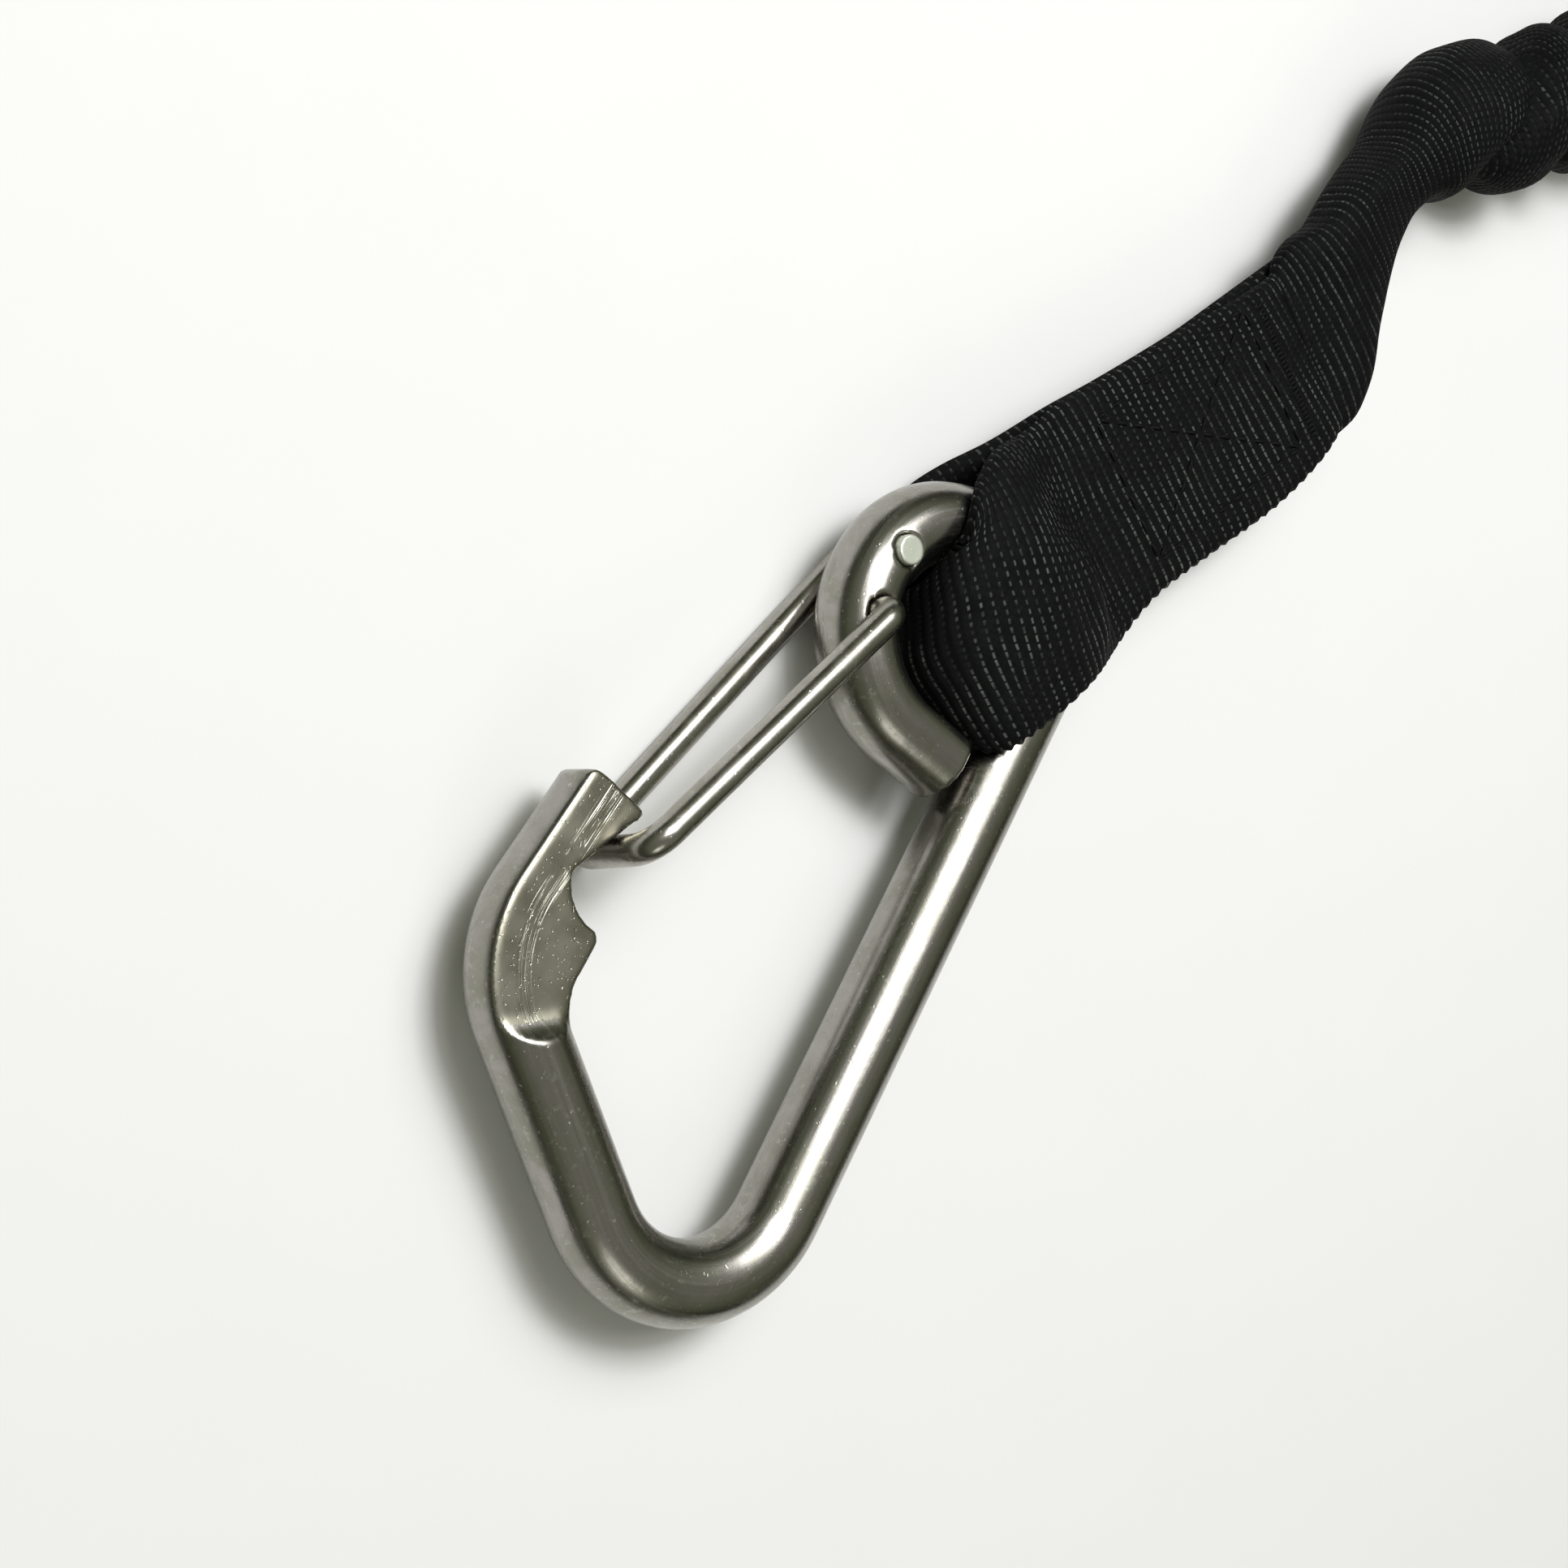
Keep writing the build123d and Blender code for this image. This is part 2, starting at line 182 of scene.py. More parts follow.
class Shader:
    """One material and short calls that add nodes to it."""

    def __init__(self, name, **values):
        self.material = bpy.data.materials.new(name)
        self.material.use_nodes = True
        self.tree = self.material.node_tree
        self.surface = self.tree.nodes["Principled BSDF"]
        for socket, value in values.items():
            self.surface.inputs[socket.replace("_", " ")].default_value = value

    def node(self, kind, output=0, settings=None, **inputs):
        """Adds a node. An input is named by its label, or by its number as i0, i1 and so on."""
        node = self.tree.nodes.new("ShaderNode" + kind)
        for key, value in (settings or {}).items():
            setattr(node, key, value)
        for socket, value in inputs.items():
            numbered = socket[0] == "i" and socket[1:].isdigit()
            slot = int(socket[1:]) if numbered else socket.replace("_", " ")
            self.put(node.inputs[slot], value)
        return node.outputs[output]

    def put(self, socket, value):
        if isinstance(value, bpy.types.NodeSocket):
            self.tree.links.new(value, socket)
        else:
            socket.default_value = value

    def math(self, operation, *values):
        inputs = {f"i{k}": value for k, value in enumerate(values)}
        return self.node("Math", settings={"operation": operation}, **inputs)

    def noise(self, vector, scale, detail=2.0, roughness=0.5, distortion=0.0):
        return self.node("TexNoise", Vector=vector, Scale=scale, Detail=detail, Roughness=roughness,
                         Distortion=distortion)

    def stretch(self, vector, factors):
        return self.node("VectorMath", settings={"operation": "MULTIPLY"}, i0=vector, i1=factors)

    def band(self, value, low, high, to_low=0.0, to_high=1.0):
        """value from low to high, smoothly, to to_low and to_high."""
        return self.node("MapRange", settings={"interpolation_type": "SMOOTHSTEP"}, Value=value,
                         From_Min=low, From_Max=high, To_Min=to_low, To_Max=to_high)

    def mix(self, share, one, two):
        node = self.tree.nodes.new("ShaderNodeMix")
        node.data_type = "RGBA"
        for socket, value in ((node.inputs[0], share), (node.inputs[6], one), (node.inputs[7], two)):
            self.put(socket, value)
        return node.outputs[2]

    def bump(self, height, distance, strength):
        node = self.tree.nodes.new("ShaderNodeBump")
        node.inputs["Strength"].default_value = strength
        node.inputs["Distance"].default_value = distance
        self.tree.links.new(height, node.inputs["Height"])
        return node.outputs[0]

    def finish(self, **sockets):
        for socket, value in sockets.items():
            self.put(self.surface.inputs[socket.replace("_", " ")], value)
        return self.material


def steel(name, tint, worn, streaks, smooth=0.20):
    """Tumbled stainless steel: cloudy tone, specks, small pits and, if asked for, streaks along the rod."""
    shader = Shader(name, Metallic=1.0)
    place = shader.node("TexCoord", output=3)
    cloud = shader.noise(place, 110, 5, 0.68, 0.6)
    along = shader.node("Attribute", output=1, settings={"attribute_name": "rod"}) if streaks else place
    fineness = (25, 1300, 1300) if streaks else (300, 300, 300)
    drawn = shader.noise(shader.stretch(along, fineness), 1.0, 3, 0.65)
    grain = shader.noise(place, 900, 2, 0.6)
    pits = shader.band(shader.noise(place, 1900, 1), 0.68, 0.76)
    specks = shader.math("MULTIPLY", shader.band(grain, 0.56, 0.70), shader.band(cloud, 0.42, 0.62))
    colour = shader.mix(shader.band(cloud, 0.32, 0.66), (*tint, 1), (*worn, 1))
    colour = shader.mix(shader.math("MULTIPLY", specks, 0.45), colour, (0.52, 0.53, 0.46, 1))
    colour = shader.mix(shader.math("MULTIPLY", pits, 0.4), colour, (0.62, 0.61, 0.58, 1))
    rough = shader.math("ADD", shader.band(cloud, 0.3, 0.75, smooth, smooth + 0.09),
                        shader.math("MULTIPLY", shader.band(drawn, 0.4, 0.7), 0.07))
    height = shader.math("ADD", shader.math("MULTIPLY", drawn, 0.8), shader.math("MULTIPLY", pits, -0.8))
    height = shader.math("ADD", height, shader.math("MULTIPLY", grain, 0.5))
    height = shader.math("ADD", height, shader.math("MULTIPLY", cloud, 1.6))
    return shader.finish(Base_Color=colour, Roughness=rough, Normal=shader.bump(height, 0.00003, 0.45))


def milled_steel(name):
    """The nose's machined flats: cutter lines that follow the rod, and small tumbling dents."""
    shader = Shader(name, Metallic=1.0)
    place = shader.node("TexCoord", output=3)
    rod = shader.node("Attribute", output=1, settings={"attribute_name": "rod"})
    split = shader.tree.nodes.new("ShaderNodeSeparateXYZ")
    shader.tree.links.new(rod, split.inputs[0])
    lines = shader.noise(shader.stretch(rod, (35, 0, 4600)), 1.0, 2, 0.6)
    where = shader.math("MULTIPLY", shader.band(split.outputs[2], -0.0018, -0.0008),
                        shader.band(split.outputs[2], 0.0014, 0.0002))
    broken = shader.band(shader.noise(place, 260, 3, 0.6), 0.36, 0.56)
    cuts = shader.math("MULTIPLY", shader.math("MULTIPLY", shader.band(lines, 0.50, 0.62), where), broken)
    dents = shader.band(shader.noise(place, 2100, 1), 0.66, 0.74)
    cloud = shader.noise(place, 180, 4, 0.6)
    colour = shader.mix(cloud, (0.27, 0.26, 0.20, 1), (0.36, 0.345, 0.29, 1))
    colour = shader.mix(cuts, colour, (0.72, 0.71, 0.64, 1))
    colour = shader.mix(shader.math("MULTIPLY", dents, 0.5), colour, (0.66, 0.65, 0.60, 1))
    height = shader.math("SUBTRACT", shader.math("MULTIPLY", cloud, 0.2),
                         shader.math("ADD", shader.math("MULTIPLY", cuts, 0.8), dents))
    return shader.finish(Base_Color=colour, Roughness=shader.band(cloud, 0.3, 0.7, 0.26, 0.36),
                         Normal=shader.bump(height, 0.00006, 0.8))


def fabric(name, row_pitch, dash_pitch, fleck, relief):
    """Flat black weave in ribs, with a broken line of grey flecks between them.

    u runs across and v along, in mm.
    """
    shader = Shader(name, Metallic=0.0, Specular_IOR_Level=0.06)
    place = shader.node("UVMap", settings={"uv_map": "weave"})
    solid = shader.node("TexCoord", output=3)
    wander = shader.math("MULTIPLY", shader.math("SUBTRACT", shader.noise(place, 0.12, 1), 0.5), 0.9)
    split = shader.tree.nodes.new("ShaderNodeSeparateXYZ")
    shader.tree.links.new(place, split.inputs[0])
    row = shader.math("DIVIDE", shader.math("ADD", split.outputs[1], wander), row_pitch)
    number = shader.math("FLOOR", row)
    off_row = shader.math("ABSOLUTE", shader.math("SUBTRACT", shader.math("FRACT", row), 0.5))
    stagger = shader.math("MULTIPLY", shader.math("PINGPONG", number, 1.0), 0.5)
    dash = shader.math("ADD", shader.math("DIVIDE", split.outputs[0], dash_pitch), stagger)
    off_dash = shader.math("ABSOLUTE", shader.math("SUBTRACT", shader.math("FRACT", dash), 0.5))
    reach = shader.band(shader.noise(solid, 75, 2), 0.38, 0.60, 0.31, 0.46)
    line = shader.math("MULTIPLY", shader.band(off_row, 0.15, 0.06),
                       shader.band(off_dash, reach, shader.math("SUBTRACT", reach, 0.12)))
    patchy = shader.band(shader.noise(solid, 160, 3, 0.65), 0.36, 0.66, 0.10, 1.0)
    each = shader.band(shader.noise(place, 1.3, 1), 0.30, 0.62, 0.25, 1.0)
    flecks = shader.math("MULTIPLY", shader.math("MULTIPLY", line, patchy), each)
    tone = shader.mix(shader.noise(solid, 700, 2), (0.0020, 0.0021, 0.0023, 1), (0.0068, 0.0072, 0.0075, 1))
    colour = shader.mix(flecks, tone, (*fleck, 1))
    rib = shader.band(off_row, 0.0, 0.5)
    yarn = shader.math("MULTIPLY", shader.band(off_dash, 0.5, 0.05), 0.45)
    fuzz = shader.math("MULTIPLY", shader.noise(solid, 2600, 2), 0.30)
    height = shader.math("ADD", shader.math("ADD", rib, yarn), fuzz)
    return shader.finish(Base_Color=colour, Roughness=shader.band(patchy, 0.0, 1.0, 0.66, 0.82),
                         Normal=shader.bump(height, relief, 0.8))


def thread(name):
    shader = Shader(name, Roughness=0.6, Specular_IOR_Level=0.08)
    place = shader.node("TexCoord", output=3)
    ply = shader.noise(place, 3200, 2)
    colour = shader.mix(ply, (0.0020, 0.0020, 0.0022, 1), (0.0080, 0.0080, 0.0085, 1))
    return shader.finish(Base_Color=colour, Normal=shader.bump(ply, 0.00006, 0.7))


def braid(name, light, dark, pitch):
    """Braided cover: crossed yarns from two waves that run opposite ways.

    u runs round and v along, in mm. The colour is painted shade: it goes from dark in the hollows between
    the yarns to light on their raised tops.
    """
    shader = Shader(name, Roughness=0.7, Specular_IOR_Level=0.15)
    place = shader.node("UVMap", settings={"uv_map": "weave"})
    split = shader.tree.nodes.new("ShaderNodeSeparateXYZ")
    shader.tree.links.new(place, split.inputs[0])
    waves = []
    for way in (1.0, -1.0):
        slope = shader.math("MULTIPLY_ADD", split.outputs[0], way, split.outputs[1])
        waves.append(shader.math("SINE", shader.math("MULTIPLY", slope, 2 * pi / pitch)))
    cross = shader.math("MULTIPLY", waves[0], waves[1])
    grain = shader.noise(shader.node("TexCoord", output=3), 2400, 2)
    height = shader.math("ADD", cross, shader.math("MULTIPLY", grain, 0.4))
    # Painted shade: the colour follows the height, darker in the hollows between yarns and lighter on their
    # tops
    colour = shader.mix(shader.band(height, -0.6, 1.0), (*dark, 1), (*light, 1))
    return shader.finish(Base_Color=colour, Normal=shader.bump(height, 0.00022, 0.8))


def moulded(name, tone):
    shader = Shader(name, Roughness=0.42)
    place = shader.node("TexCoord", output=3)
    grain = shader.noise(place, 1500, 3, 0.6)
    cloud = shader.noise(place, 120, 2)
    colour = shader.mix(cloud, (*tone, 1), tuple(1.5 * c for c in tone) + (1,))
    return shader.finish(Base_Color=colour, Roughness=shader.band(grain, 0.3, 0.7, 0.36, 0.5),
                         Normal=shader.bump(grain, 0.00005, 0.5))


STEEL = steel("polished_stainless", (0.36, 0.345, 0.325), (0.27, 0.265, 0.225), True)
WIRE_STEEL = steel("wire_stainless", (0.40, 0.385, 0.355), (0.31, 0.30, 0.26), False)
MILLED = milled_steel("milled_stainless")
PIN_STEEL = steel("pin_stainless", (0.74, 0.77, 0.68), (0.56, 0.59, 0.51), False, 0.42)
WEBBING = fabric("woven_webbing", 1.5, 0.95, (0.098, 0.106, 0.098), 0.00012)
GATHERED = fabric("gathered_webbing", 1.5, 0.95, (0.070, 0.077, 0.072), 0.00012)
THREAD = thread("bonded_thread")
# Each braid's second colour is the painted shade in the hollows between its yarns
LOOP_BRAID = braid("loop_braid", (0.035, 0.035, 0.038), (0.006, 0.006, 0.007), 1.6)
CORE_BRAID = braid("core_braid", (0.12, 0.11, 0.10), (0.03, 0.03, 0.03), 2.2)
BARREL_PLASTIC = moulded("barrel_plastic", (0.018, 0.018, 0.019))
BUTTON_PLASTIC = moulded("button_plastic", (0.024, 0.024, 0.026))


# ---------------------------------------------------------------- camera, floor and lights

def camera():
    data = bpy.data.cameras.new("camera")
    data.sensor_width = 36
    data.lens = 65.2
    obj = bpy.data.objects.new("camera", data)
    obj.location = (-0.12004, 0.17883, 0.26652)
    obj.rotation_euler = (0, radians(-37), radians(-57.5))
    bpy.context.scene.collection.objects.link(obj)
    bpy.context.scene.camera = obj


FLOOR_HALF = 12.0
FAR_GLOW = 0.68
GLOW_FROM_TO = (0.40, 1.5)
# Only the camera sees this; the steel mirrors the darker ramp in studio()
BACKDROP = (1.11, 1.115, 1.09, 1)


def floor():
    """A pale floor that glows faintly where the lights don't reach, so that it doesn't end in the dark."""
    shader = Shader("pale_floor", Roughness=0.85, Emission_Color=(1.0, 1.0, 0.98, 1))
    place = shader.node("TexCoord", output=3)
    grain = shader.noise(place, 40, 3)
    out = shader.node("VectorMath", output=1, settings={"operation": "LENGTH"}, i0=place)
    colour = shader.mix(grain, (0.80, 0.80, 0.80, 1), (0.82, 0.82, 0.82, 1))
    glow = shader.band(out, *GLOW_FROM_TO, 0.0, FAR_GLOW)
    material = shader.finish(Base_Color=colour, Emission_Strength=glow)
    material.cycles.emission_sampling = "NONE"
    corners = [(x * FLOOR_HALF, y * FLOOR_HALF, 0) for x, y in ((-1, -1), (1, -1), (1, 1), (-1, 1))]
    obj = mesh_object("floor", corners, [(0, 1, 2, 3)], material)


def soft_light(name, aim, direction, distance, size, power, colour=(1, 1, 1)):
    data = bpy.data.lights.new(name, "AREA")
    data.shape = "RECTANGLE"
    data.size, data.size_y = size
    data.energy = power
    data.color = colour
    obj = bpy.data.objects.new(name, data)
    way = Vector(direction).normalized()
    obj.location = Vector(aim) + way * distance
    obj.rotation_euler = way.to_track_quat("Z", "Y").to_euler()
    bpy.context.scene.collection.objects.link(obj)


def studio():
    floor()
    middle = (0.0, 0.0, 0.01)
    soft_light("key", middle, (0.32, 0.23, 0.92), 0.9, (0.30, 0.26), 4.0)
    soft_light("halo", middle, (0.35, 0.20, 0.92), 0.95, (0.75, 0.62), 5.5)
    soft_light("fill", middle, (-0.75, -0.35, 0.65), 1.4, (0.5, 0.5), 1.4, (1.0, 0.98, 0.94))
    world = bpy.data.worlds.new("studio")
    bpy.context.scene.world = world
    world.use_nodes = True
    nodes, links = world.node_tree.nodes, world.node_tree.links
    place = nodes.new("ShaderNodeTexCoord")
    split = nodes.new("ShaderNodeSeparateXYZ")
    ramp = nodes.new("ShaderNodeValToRGB")
    stops = [(0.0, (0.03, 0.03, 0.02, 1)), (0.20, (0.05, 0.05, 0.03, 1)),
             (0.5, (0.22, 0.25, 0.155, 1)), (0.8, (0.36, 0.36, 0.31, 1))]
    while len(ramp.color_ramp.elements) < len(stops):
        ramp.color_ramp.elements.new(0.5)
    for element, (at, colour) in zip(ramp.color_ramp.elements, stops):
        element.position = at
        element.color = colour
    links.new(place.outputs["Generated"], split.inputs[0])
    links.new(split.outputs[2], ramp.inputs[0])
    seen = nodes.new("ShaderNodeMix")
    seen.data_type = "RGBA"
    seen.inputs[7].default_value = BACKDROP
    links.new(nodes.new("ShaderNodeLightPath").outputs["Is Camera Ray"], seen.inputs[0])
    links.new(ramp.outputs[0], seen.inputs[6])
    links.new(seen.outputs[2], nodes["Background"].inputs["Color"])
    nodes["Background"].inputs["Strength"].default_value = 0.75
    bpy.context.scene.view_settings.view_transform = "Standard"


camera()
studio()


# ---------------------------------------------------------------- gathered sleeve and its core

def sleeve_route():
    """The route's points, then the coil's, and the frame where the coil ends."""
    points = list(SLEEVE_ROUTE)
    heading = radians(COIL_HEADING)
    place = np.array(points[-1])
    for radius, turn in COIL_TURNS:
        steps = round(turn / COIL_STEP)
        step = radians(turn / steps)
        for _ in range(steps):
            heading += step / 2
            place = place + 2 * radius * sin(step / 2) * np.array((cos(heading), sin(heading), 0))
            heading += step / 2
            points.append(tuple(place))
    return points, place, heading


ROUTE_POINTS, TAIL_PLACE, TAIL_HEADING = sleeve_route()
TAIL = Matrix.Translation(TAIL_PLACE) @ Matrix.Rotation(TAIL_HEADING, 4, "Z")

# Place along the sleeve, half width, half thickness, twist, lean of the rows, gather, shift to the left.
# Lengths are in mm and angles in degrees; gather is the cloth's length for each mm of sleeve.
SLEEVE_SHAPE = np.array([
    (0, 11.0, 1.2, 0, 24, 1.0, 0.6),
    (4, 12.0, 2.0, 0, 21, 1.0, 0.2),
    (9, 11.0, 3.0, 3, 15, 1.0, 0.2),
    (14, 8.4, 3.7, 8, 13, 1.0, 0.6),
    (19, 7.3, 4.2, 12, 15, 1.1, 0.5),
    (24, 6.2, 4.5, 16, 14, 1.2, 0.4),
    (29, 5.2, 4.7, 18, 6, 1.3, 0),
    (33, 5.4, 5.4, 14, 0, 1.4, -1.1),
    (37, 7.2, 6.8, 8, 0, 1.45, -1.8),
    (41, 8.6, 8.0, 3, 0, 1.45, -1.0),
    (47, 9.6, 8.8, 0, 0, 1.45, -0.2),
    (58, 10.6, 9.4, 0, 0, 1.45, -0.4),
    (70, 10.8, 9.6, 0, 0, 1.45, 0),
])
SHAPE_SMOOTH_ROUNDS = 3
SLEEVE_ROWS_MM = 1.0
SLEEVE_AROUND = 84
SLEEVE_GIRTH = 54.0
ROUND_FROM_TO_MM = (26, 46)      # along the sleeve, where its flat neck turns round
TAIL_FROM_TO_MM = (22, 1)        # before its end, where it turns flat again
TAIL_HALF_W = 12.4
TAIL_HALF_T = 2.4
PUCKER_SEED = 7
# Creases that start the gathers: place, depth, lean in mm, phase in radians
FIRST_PUCKERS = [(54.0, 0.36, 6.8, 1.45), (69.5, 0.36, 4.5, 1.5), (84.0, 0.36, 9.0, 1.6)]
LAST_PUCKER_MM = 36              # before the sleeve's end
CREASE_MM = 2.3
CREASE_WAVE = 0.16
BULGE_MM = 2.6
BULGE_PAST_CREASE_MM = 2.8
BULGE_REACH_MM = 4.0
RIPPLE_WAVES = 9
RIPPLE = 0.045
RIPPLE_WHERE_FLAT = 0.25
SWELL = 1.04
FLAT_SQUARENESS = 1.3
SELVAGE_NUB_MM = 0.22
SELVAGE_SHARE = 0.02


def puckers(total):
    """Oblique creases round the gathered sleeve, drifting slowly from one to the next."""
    draw = np.random.default_rng(PUCKER_SEED)
    creases = list(FIRST_PUCKERS)
    at, phase = creases[-1][0], creases[-1][3]
    while at < total - LAST_PUCKER_MM:
        at += draw.uniform(11.0, 17.0)
        phase += draw.uniform(-0.5, 0.7)
        creases.append((at, draw.uniform(0.26, 0.42), draw.uniform(6.0, 12.0), phase))
    return creases


def sleeve_shape(along):
    """The columns of SLEEVE_SHAPE but the first, read at each place along and smoothed."""
    columns = [np.interp(along, SLEEVE_SHAPE[:, 0], column) for column in SLEEVE_SHAPE[:, 1:].T]
    shape = np.stack(columns, axis=1)
    for _ in range(SHAPE_SMOOTH_ROUNDS):
        shape[1:-1] = (shape[:-2] + 2 * shape[1:-1] + shape[2:]) / 4
    return shape.T


def gathers(a, s, total):
    """The crease's depth, how far the bulge hangs over it in mm, and a fine ripple.

    Each is given for the angles a round the sleeve and the places s along it.
    """
    crease = np.zeros_like(a)
    overhang = np.zeros_like(a)
    for at, depth, skew, phase in puckers(total):
        away = s - (at + skew * np.sin(a + phase) + CREASE_WAVE * skew * np.sin(3 * a + 2 * phase))
        crease = np.maximum(crease, depth * np.exp(-np.abs(away) / CREASE_MM))
        overhang += depth * BULGE_REACH_MM * np.exp(-np.abs(away - BULGE_PAST_CREASE_MM) / BULGE_MM)
    draw = np.random.default_rng(PUCKER_SEED + 1)
    ripple = np.zeros_like(a)
    for _ in range(RIPPLE_WAVES):
        count, rate, phase = draw.integers(3, 13), draw.uniform(0.08, 0.45), draw.uniform(0, 2 * pi)
        ripple += np.sin(count * a + rate * s + phase) / count
    return crease, overhang, ripple


def sleeve():
    """The sleeve's skin, and the line that it follows."""
    line = nurbs_line("sleeve", ROUTE_POINTS, SLEEVE_ROWS_MM / 1000)
    along = lengths_along(line) * 1000
    total = along[-1]
    half_w, half_t, twist, lean, gather, off_line = sleeve_shape(along)
    tail_from, tail_to = TAIL_FROM_TO_MM
    tail_flat = smoothstep(total - tail_from, total - tail_to, along)
    half_w = half_w + (TAIL_HALF_W - half_w) * tail_flat
    half_t = half_t + (TAIL_HALF_T - half_t) * tail_flat
    round_part = smoothstep(*ROUND_FROM_TO_MM, along) * (1 - tail_flat)

    tangent = unit(np.gradient(line, axis=0))
    side = unit(np.stack([-tangent[:, 1], tangent[:, 0], np.zeros(len(line))], axis=1))
    turn = -np.radians(lean)[:, None]
    side = side * np.cos(turn) - np.cross(side, [0, 0, 1]) * np.sin(turn)
    up = np.array([0.0, 0.0, 1.0])

    angle = np.linspace(0, 2 * pi, SLEEVE_AROUND, endpoint=False)
    a, s = np.meshgrid(angle, along)
    crease, overhang, ripple = gathers(a, s, total)
    gathered = round_part[:, None]
    rippled = RIPPLE_WHERE_FLAT + (1 - RIPPLE_WHERE_FLAT) * gathered
    radial = SWELL - crease * gathered + RIPPLE * ripple * rippled

    # Each row is an ellipse where the sleeve is round, and squarer where it is flat
    power = (2.0 + FLAT_SQUARENESS * (1 - round_part))[:, None]
    cos_a, sin_a = np.cos(a), np.sin(a)
    x = np.sign(cos_a) * np.abs(cos_a) ** (2 / power) * half_w[:, None] * radial
    z = np.sign(sin_a) * np.abs(sin_a) ** (2 / power) * half_t[:, None] * radial
    stretch = np.hypot(np.roll(x, -1, 1) - x, np.roll(z, -1, 1) - z)
    across = np.concatenate([np.zeros((len(line), 1)), np.cumsum(stretch, axis=1)[:, :-1]], axis=1)
    across *= SLEEVE_GIRTH / stretch.sum(1)[:, None]
    selvage = np.exp(-((1 - np.abs(cos_a)) / SELVAGE_SHARE) ** 2) * (1 - gathered)
    x = x + SELVAGE_NUB_MM * np.sign(cos_a) * np.sin(pi * s) * selvage
    t = np.radians(twist)[:, None]
    x, z = x * np.cos(t) - z * np.sin(t) + off_line[:, None], x * np.sin(t) + z * np.cos(t)
    z = np.maximum(z, FLOOR_CLEAR_MM - SLEEVE_D * 500)
    shift = overhang * gathered
    rings = (line[:, None] + side[:, None] * x[..., None] / 1000 + up * z[..., None] / 1000
             + tangent[:, None] * shift[..., None] / 1000)
    cloth = np.concatenate([[0], np.cumsum((gather[1:] + gather[:-1]) / 2 * np.diff(along))])
    uv = np.stack([across, np.broadcast_to(cloth[:, None], a.shape)], axis=2)
    obj = ring_mesh("gathered_sleeve", rings, GATHERED, uv, SLEEVE_GIRTH)
    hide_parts("sleeve", "sleeve_coil")
    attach(obj, "root")
    return obj, line


def tube(name, line, radius, material, around):
    """A round tube along a line, with u round it and v along it, in mm."""
    tangent = unit(np.gradient(line, axis=0))
    side = unit(np.cross([0, 0, 1.0], tangent))
    up = np.cross(tangent, side)
    angle = np.linspace(0, 2 * pi, around, endpoint=False)
    offset = side[:, None] * np.cos(angle)[None, :, None] + up[:, None] * np.sin(angle)[None, :, None]
    rings = line[:, None] + radius * offset
    along = lengths_along(line) * 1000
    girth = 2 * pi * radius * 1000
    uv = np.stack(np.meshgrid(angle / (2 * pi) * girth, along), axis=2)
    return ring_mesh(name, rings, material, uv, girth)


CORE_R = 0.0042
# Points of the sleeve's line, which are 1 mm apart
CORE_START = 40
CORE_END = -26
sleeve_piece, sleeve_line = sleeve()
core = tube("elastic_core", sleeve_line[CORE_START:CORE_END:2], CORE_R, CORE_BRAID, 24)
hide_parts("bungee_core", "bungee_core_coil")
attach(core, "root")


# ---------------------------------------------------------------- carabiner

CARABINER_CORNERS = [(12.4, 45.6), (-10.2, 48.0), (-42.5, 0.0), (66.5, 0.0), (66.5, 28.0),
                     (40.5, 28.0), (40.5, 5.25)]
CARABINER_RADII = [13.5, 14.2, 7.0, 12.8, 12.8]
ROD_STEP = 0.4
# The surface is the rod's own if it is this near to the rod's radius and faces straight out
ON_ROD_MM = 0.30
ON_ROD_FACING = (0.93, 0.99)
TOOTH_FADE_MM = (36.4, 39.2)    # up the drawing, where the tooth's root runs into the round leg
# The nose's milled flats: how nearly level, how far past the nose's own height, how far up the drawing
FLAT_LEVEL = 0.93
FLAT_SLACK_MM = 0.25
FLAT_FROM_MM = 30
# How softly edges are broken: the voxels' size in metres, and rounds of smoothing
BODY_EDGES = (0.00033, 9)
WIRE_EDGES = (0.00020, 5)
PIN_EDGES = (0.00016, 5)
LOCK_EDGES = (0.00026, 6)
NEAREST_BATCH = 4000


def rod_line():
    """The carabiner's centre line in drawing millimetres: straight runs joined by tangent arcs."""
    corners = np.array(CARABINER_CORNERS)
    points = [corners[0]]
    for before, corner, after, radius in zip(corners, corners[1:], corners[2:], CARABINER_RADII):
        into, out = unit(corner - before), unit(after - corner)
        turn = atan2(into[0] * out[1] - into[1] * out[0], into @ out)
        start = corner - into * radius * abs(np.tan(turn / 2))
        left = np.array((-into[1], into[0])) * np.sign(turn)
        centre = start + left * radius
        steps = max(2, int(abs(turn) * radius / ROD_STEP))
        for k in range(steps + 1):
            swing = turn * k / steps
            arm = -left * radius
            points.append(centre + np.array((arm[0] * cos(swing) - arm[1] * sin(swing),
                                             arm[0] * sin(swing) + arm[1] * cos(swing))))
    points.append(corners[-1])
    return even_line(np.array(points), ROD_STEP)


